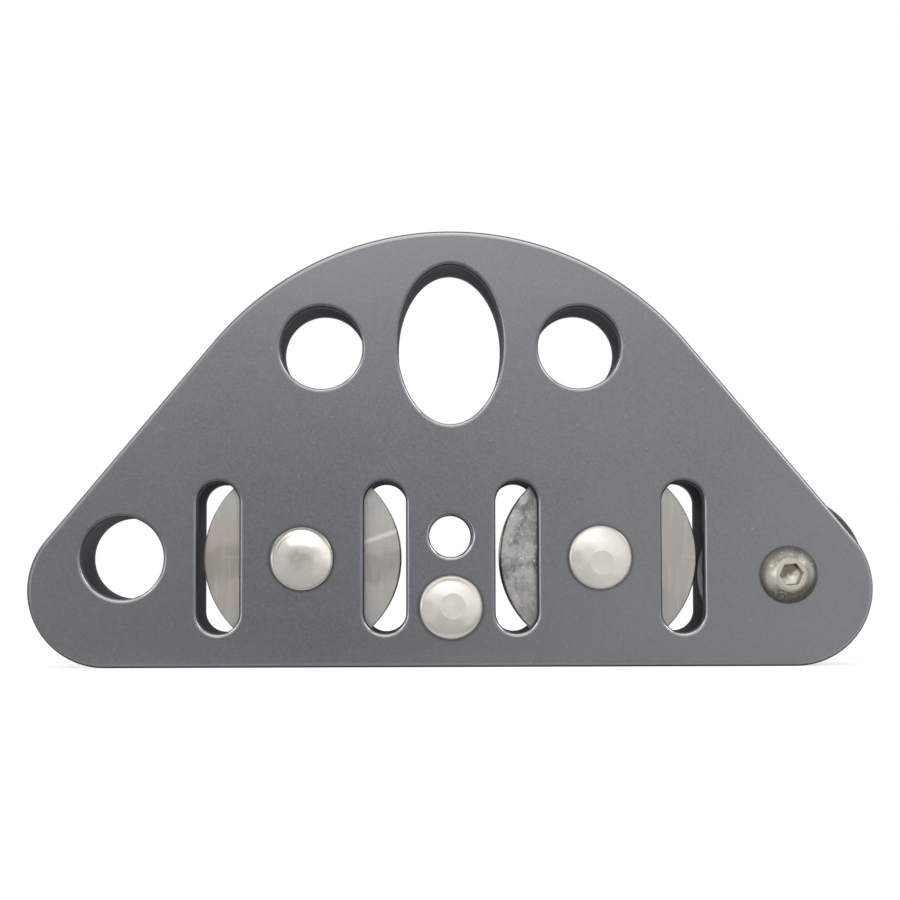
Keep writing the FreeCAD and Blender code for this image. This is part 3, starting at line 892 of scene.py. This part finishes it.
class PULLEY_OT_rivets(bpy.types.Operator):
    """Make the two axle rivets and the middle rivet"""
    bl_idname = "pulley.rivets"
    bl_label = "Rivets"

    def execute(self, context):
        sizes = context.scene.pulley_rivet
        base = context.scene.pulley_colours.rivet
        polished = rivet_finish("polished rivet steel", base, 0.17, 0.8)
        satin = rivet_finish("satin rivet steel", base, 0.31, 0.08)
        rivets = {
            "left_axle_rivet": ("left_rivet", polished, {
                FRONT: head_of(1, ring=0.03 * MM, shift=(0.1 * MM, -0.3 * MM)),
                BACK: head_of(2, (0.2 * MM, 0.4 * MM, 4.2 * MM))}),
            "right_axle_rivet": ("right_rivet", satin, {
                FRONT: head_of(3, (0.5 * MM, -1.6 * MM, 3.6 * MM), shift=(0.0, -0.12 * MM)),
                BACK: head_of(4, (-0.3 * MM, 0.2 * MM, 4.1 * MM), (0.01, 0.0))}),
            "middle_rivet": ("low_middle_rivet", satin, {
                FRONT: head_of(5, (0.65 * MM, 0.25 * MM, 3.85 * MM), (0.0, -0.03)),
                BACK: head_of(6, (0.1 * MM, -0.5 * MM, 4.0 * MM))}),
        }
        for node, (name, finish, heads) in rivets.items():
            make_piece(name, rivet_maker(node, sizes, heads), middle(node), finish, "frame",
                       [node])
        return {"FINISHED"}


# Roller, its screw and its sleeve nut

def button_head_rings(side, sizes, head_radius, height, seat, count):
    """Rings of a button head from the middle of its socket's floor out to its seat."""
    apothem = sizes.socket_across_flats / 2
    top = seat + height
    flat = sizes.head_flat / 2
    rim_y = seat + sizes.head_edge

    def hexagon(extra):
        def radius(turn):
            # the ring starts on a corner
            return (apothem + extra) / math.cos(turn % (math.pi / 3) - math.pi / 6)
        return radius

    # the drill's point, the socket's floor and walls, and its rounded mouth
    floor = top - sizes.socket_depth
    rings = [(0.0, floor - 0.7 * MM), (1.6 * MM, floor - 0.15 * MM), (2.3 * MM, floor),
             (hexagon(-0.12 * MM), floor), (hexagon(0.0), floor + 0.12 * MM), (hexagon(0.0), top - 0.35 * MM),
             (hexagon(0.1 * MM), top - 0.15 * MM), (hexagon(0.3 * MM), top), (flat - 0.15 * MM, top)]
    # dome from the flat to the upright edge
    rise = top - rim_y
    depth = (head_radius ** 2 - flat ** 2 - rise ** 2) / (2 * rise)
    ball = math.hypot(head_radius, depth)
    steps = 14
    for i in range(steps + 1):
        r = flat + (head_radius - 0.25 * MM - flat) * i / steps
        rings.append((r, rim_y - depth + math.sqrt(ball ** 2 - r ** 2)))
    # the upright edge, bevelled where it meets the plate
    rings += [(head_radius, rim_y - 0.1 * MM), (head_radius, seat + 0.2 * MM),
              (head_radius - 0.2 * MM, seat)]
    return [ring_of(r, side * y, count) for r, y in rings]


class PULLEY_OT_roller_screw(bpy.types.Operator):
    """Make the roller's screw and its sleeve nut"""
    bl_idname = "pulley.roller_screw"
    bl_label = "Roller screw and nut"

    def execute(self, context):
        sizes = context.scene.pulley_screw
        finish = screw_finish(context.scene.pulley_colours.screw)
        count = 96
        low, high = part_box("roller_screw")
        nut_low, nut_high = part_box("roller_sleeve_nut")
        seat = abs(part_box("side_plate_front")[0].y)
        head = span("roller_screw").x / 2
        shank = sizes.shank_diameter / 2
        barrel = sizes.barrel_diameter / 2
        thread_play, tip = 0.03 * MM, 0.8 * MM

        def screw(bm):
            rings = button_head_rings(FRONT, sizes, head, abs(low.y) - seat, seat, count)
            rings += [ring_of(shank, -seat, count), ring_of(shank, high.y - tip, count),
                      ring_of(shank - tip, high.y, count), [Vector((0, high.y, 0))]]
            skin(bm, rings)

        def nut(bm):
            rings = button_head_rings(BACK, sizes, head, nut_high.y - seat, seat, count)
            bore = shank + thread_play
            end = high.y + sizes.thread_runout
            rings += [ring_of(barrel, seat, count), ring_of(barrel, nut_low.y + BORE_EDGE, count),
                      ring_of(barrel - BORE_EDGE, nut_low.y, count), ring_of(bore, nut_low.y, count),
                      ring_of(bore, end, count), [Vector((0, end, 0))]]
            skin(bm, rings)

        centre = middle("roller_screw")
        centre.y = 0
        for name, maker, node in (("button_screw", screw, "roller_screw"),
                                  ("button_nut", nut, "roller_sleeve_nut")):
            make_piece(name, maker, centre, finish, "frame", [node], sizes.socket_turn)
        return {"FINISHED"}


class PULLEY_OT_roller(bpy.types.Operator):
    """Make the guide roller"""
    bl_idname = "pulley.roller"
    bl_label = "Guide roller"

    def execute(self, context):
        sizes = context.scene.pulley_roller
        rim = span("guide_roller").x / 2
        half = span("guide_roller").y / 2
        bore = context.scene.pulley_screw.barrel_diameter / 2 + sizes.bore_clearance
        corners = [(bore, 0.0, 0), (bore, -half, BORE_EDGE), (rim, -half, sizes.rim_rounding),
                   (rim, half, sizes.rim_rounding), (bore, half, BORE_EDGE), (bore, 0.0, 0)]
        make_piece("turned_roller", turned(softened(corners)[:-1], count=160), middle("guide_roller"),
                   roller_finish(context.scene.pulley_colours.roller), "roller",
                   ["guide_roller"])
        return {"FINISHED"}


class PULLEY_OT_inner_parts(bpy.types.Operator):
    """Give the bushes, sleeves, spacer and thrust washers their finishes"""
    bl_idname = "pulley.inner_parts"
    bl_label = "Inner parts"

    def execute(self, context):
        colours = context.scene.pulley_colours
        bronze = bush_finish(colours.bush)
        steel = sleeve_finish(colours.sleeve)
        plastic = washer_finish(colours.washer)
        finishes = {"middle_spacer": steel, "roller_washer_front": plastic, "roller_washer_back": plastic}
        for hand in HANDS:
            finishes[hand + "_bush"] = bronze
            finishes[hand + "_axle_sleeve"] = steel
            finishes[hand + "_washer_front"] = plastic
            finishes[hand + "_washer_back"] = plastic
        for node, finish in finishes.items():
            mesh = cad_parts[node].data
            mesh.materials.clear()
            mesh.materials.append(finish)
        return {"FINISHED"}


# Studio

def floor_finish():
    """Pale floor that turns white where no shadow falls on it, for the eye and in reflections."""
    material = bpy.data.materials.new("pale floor")
    material.use_nodes = True
    nodes, links = material.node_tree.nodes, material.node_tree.links
    nodes.clear()
    output = nodes.new("ShaderNodeOutputMaterial")
    lit = nodes.new("ShaderNodeBsdfDiffuse")
    lit.inputs["Color"].default_value = (0.35, 0.35, 0.35, 1)
    glow = nodes.new("ShaderNodeEmission")
    total = nodes.new("ShaderNodeAddShader")
    path = nodes.new("ShaderNodeLightPath")
    seen = path.outputs["Is Camera Ray"]
    for ray in ("Is Glossy Ray", "Is Transmission Ray"):
        either = nodes.new("ShaderNodeMath")
        either.operation = "MAXIMUM"
        links.new(seen, either.inputs[0])
        links.new(path.outputs[ray], either.inputs[1])
        seen = either.outputs[0]
    level = nodes.new("ShaderNodeMath")
    level.operation = "MULTIPLY"
    # what the lit floor lacks to be white
    level.inputs[1].default_value = 0.68
    links.new(seen, level.inputs[0])
    links.new(level.outputs[0], glow.inputs["Strength"])
    links.new(lit.outputs[0], total.inputs[0])
    links.new(glow.outputs[0], total.inputs[1])
    links.new(total.outputs[0], output.inputs["Surface"])
    return material


def area_lamp(name, where, towards, width, depth, level):
    """Soft rectangular lamp whose own face has the given brightness."""
    data = bpy.data.lights.new(name, "AREA")
    data.shape = "RECTANGLE"
    data.size, data.size_y = width, depth
    data.energy = level * math.pi * width * depth
    lamp = bpy.data.objects.new(name, data)
    bpy.context.scene.collection.objects.link(lamp)
    lamp.location = where
    lamp.rotation_mode = "QUATERNION"
    lamp.rotation_quaternion = (Vector(towards) - Vector(where)).to_track_quat("-Z", "Y")


def stage_sheet(name, corners, finish):
    """Flat four-cornered sheet that belongs to the studio."""
    mesh = bpy.data.meshes.new(name)
    mesh.from_pydata(corners, [], [(0, 1, 2, 3)])
    mesh.materials.append(finish)
    sheet = bpy.data.objects.new(name, mesh)
    bpy.context.scene.collection.objects.link(sheet)
    return sheet


def mirrored_sheet(name, corners, grey):
    """Stage sheet in a plain grey that only mirrored light sees."""
    finish = bpy.data.materials.new(name)
    finish.use_nodes = True
    finish.node_tree.nodes["Principled BSDF"].inputs["Base Color"].default_value = (grey, grey, grey, 1)
    sheet = stage_sheet(name, corners, finish)
    sheet.visible_camera = False
    sheet.visible_shadow = False
    sheet.visible_diffuse = False


# a point in the middle of the part, which four of the lamps face
PART = (0, 0, 0.06)
# each lamp's level among the studio's properties, where it stands, what it faces, and its width and depth
LAMPS = {
    "front lamp": ("front_level", (-0.1, -1.3, 0.45), (-0.1, 0, 0.45), 0.5, 0.3),
    "high lamp": ("high_level", (0.0, -0.95, 0.72), (0, 0, 0.1), 1.25, 0.45),
    "wide lamp": ("wide_level", (-0.35, -1.31, 0.7), (-0.35, 0, 0.7), 1.7, 0.9),
    "top lamp": ("top_level", (0, -0.25, 0.9), (0, -0.05, 0.06), 1.0, 0.45),
    "left wing": ("left_wing_level", (-0.85, -0.3, 0.7), PART, 0.5, 0.45),
    "right wing": ("right_wing_level", (0.85, -0.25, 0.7), PART, 0.5, 0.45),
    "left lamp": ("left_level", (-0.8, -0.75, 0.1), PART, 0.5, 0.35),
    "right lamp": ("right_level", (0.3, -1.0, 0.1), (0.2, 0, 0.03), 0.45, 0.35),
    "side lamp": ("side_level", (1.0, 0.05, 0.2), PART, 0.3, 0.6),
}


class PULLEY_OT_studio(bpy.types.Operator):
    """Set the floor, the light and the camera"""
    bl_idname = "pulley.studio"
    bl_label = "Studio"

    def execute(self, context):
        scene = context.scene
        studio = scene.pulley_studio
        scene.view_settings.view_transform = "Standard"

        world = bpy.data.worlds.new("white room")
        world.use_nodes = True
        sky = world.node_tree.nodes["Background"]
        sky.inputs["Color"].default_value = (1, 1, 1, 1)
        sky.inputs["Strength"].default_value = 1.0
        scene.world = world

        reach = 6.0
        corners = [(-reach, -reach, 0), (reach, -reach, 0), (reach, reach, 0), (-reach, reach, 0)]
        stage_sheet("floor", corners, floor_finish())

        for name, (level, where, towards, width, depth) in LAMPS.items():
            area_lamp(name, where, towards, width, depth, getattr(studio, level))

        # the camera's stand and the table in front: nothing sees them but the metal, which mirrors them
        left, right, far, top = -0.22, 0.05, -0.8, 0.13
        mirrored_sheet("stand", [(left, far, 0), (right, far, 0), (right, far, top), (left, far, top)], 0.5)
        join, edge, near, lift = 0.04, 0.7, -0.03, 0.0005
        for name, left, right, grey in (("table", -edge, join, 0.5), ("pale table", join, edge, 0.7)):
            mirrored_sheet(name, [(left, -edge, lift), (right, -edge, lift), (right, near, lift),
                                  (left, near, lift)], grey)

        data = bpy.data.cameras.new("camera")
        data.sensor_width = 36.0
        data.lens = studio.lens
        data.clip_start, data.clip_end = 0.01, 20.0
        camera = bpy.data.objects.new("camera", data)
        scene.collection.objects.link(camera)
        camera.location = (studio.camera_side, -studio.camera_distance, studio.camera_height)
        camera.rotation_euler = (math.pi / 2 + studio.camera_tilt, studio.camera_roll, -studio.camera_turn)
        scene.camera = camera
        return {"FINISHED"}


class PULLEY_PT_panel(bpy.types.Panel):
    """Builds the pulley piece by piece"""
    bl_idname = "PULLEY_PT_panel"
    bl_label = "Tandem rope pulley"
    bl_space_type = "VIEW_3D"
    bl_region_type = "UI"
    bl_category = "Pulley"

    def draw(self, context):
        for operator in OPERATORS:
            self.layout.operator(operator.bl_idname)
        for name in GROUPS:
            group = getattr(context.scene, name)
            box = self.layout.box()
            for prop in group.__annotations__:
                box.prop(group, prop)


GROUPS = {
    "pulley_plate": PulleyPlateSizes,
    "pulley_wheel": PulleyWheelSizes,
    "pulley_rivet": PulleyRivetSizes,
    "pulley_screw": PulleyScrewSizes,
    "pulley_roller": PulleyRollerSizes,
    "pulley_colours": PulleyColours,
    "pulley_studio": PulleyStudio,
}
OPERATORS = (PULLEY_OT_side_plates, PULLEY_OT_wheels, PULLEY_OT_rivets, PULLEY_OT_roller_screw,
             PULLEY_OT_roller, PULLEY_OT_inner_parts, PULLEY_OT_studio)
CLASSES = (*GROUPS.values(), *OPERATORS, PULLEY_PT_panel)


def register():
    for cls in CLASSES:
        bpy.utils.register_class(cls)
    for name, group in GROUPS.items():
        setattr(bpy.types.Scene, name, PointerProperty(type=group))


def unregister():
    for name in GROUPS:
        delattr(bpy.types.Scene, name)
    for cls in reversed(CLASSES):
        bpy.utils.unregister_class(cls)


def main():
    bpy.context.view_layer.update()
    register()
    bpy.ops.pulley.side_plates()
    bpy.ops.pulley.wheels()
    bpy.ops.pulley.rivets()
    bpy.ops.pulley.roller_screw()
    bpy.ops.pulley.roller()
    bpy.ops.pulley.inner_parts()
    bpy.ops.pulley.studio()


if __name__ == "__main__":
    main()
